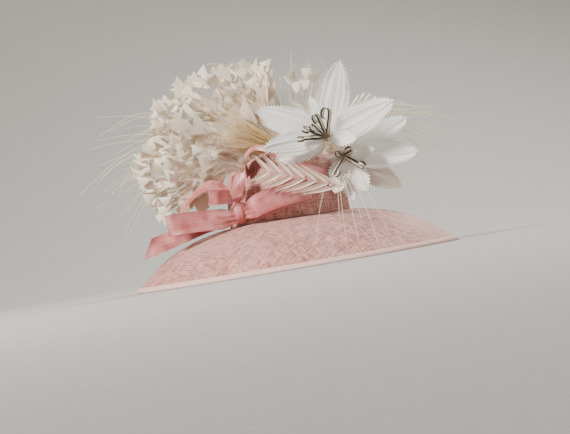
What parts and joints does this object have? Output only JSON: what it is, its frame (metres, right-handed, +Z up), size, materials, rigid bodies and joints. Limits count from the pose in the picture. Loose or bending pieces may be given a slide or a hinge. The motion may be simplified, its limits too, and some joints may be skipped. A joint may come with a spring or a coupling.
{
  "type": "wide-brimmed church hat",
  "caption": "Pink woven straw hat with a downturned bell brim, satin ribbon bow, white cloth flowers and a plume of cut quills.",
  "frame": {"origin": "on the hat's axis, in the plane that its rim rests on", "axes": "+Z up through the crown, -Y to the wearer's front, -X to the wearer's right"},
  "size_m": [0.4844, 0.4844, 0.3421],
  "materials": {
    "straw": "matt open weave of fine straw",
    "binding": "matt bias strip of the same straw",
    "band": "ribbed ribbon",
    "ribbon": "satin",
    "petal": "stiffened matt cloth",
    "sheer": "thin beige cloth",
    "flower_centre": "matt cream with dark edges",
    "feather": "soft cream feather",
    "quill": "straw-yellow stripped quill",
    "blush": "soft blush feather"
  },
  "bodies": {
    "root": {"brim": "straw", "crown": "straw", "rim_binding": "binding", "head_band": "band", "ribbon_knot": "ribbon", "ribbon_low_loop": "ribbon", "ribbon_tail": "ribbon", "ribbon_arch_loop": "ribbon", "ribbon_inner_loop": "ribbon", "ribbon_pointed_loop": "ribbon", "ribbon_wide_loop": "ribbon", "ribbon_crown_loop": "ribbon", "ribbon_side_loop": "ribbon", "flower_a_heart": "flower_centre", "flower_a_petal_leaf": "sheer", "flower_a_petal_small_top": "petal", "flower_a_petal_back_left": "petal", "flower_a_petal_top": "petal", "flower_a_petal_left": "petal", "flower_a_petal_right": "petal", "flower_a_petal_low_left": "petal", "flower_a_petal_front": "petal", "flower_b_heart": "flower_centre", "flower_b_petal_sheer": "sheer", "flower_b_petal_upper_right": "petal", "flower_b_petal_down": "petal", "flower_b_petal_down_right": "petal", "flower_b_petal_right": "petal", "flower_b_petal_down_left": "petal", "flower_b_petal_front": "petal", "stamens_a": "flower_centre", "stamens_b": "flower_centre", "tubular_tips": "flower_centre", "plume_low": "feather", "plume_left": "feather", "plume_top": "feather", "plume_back": "feather", "quill_brush": "quill", "blush_feather_1": "blush", "blush_feather_2": "blush", "blush_feather_3": "blush", "chevron_feather": "feather", "wisp_left": "quill", "wisp_top": "quill", "wisp_right": "quill"}
  },
  "joints": []
}
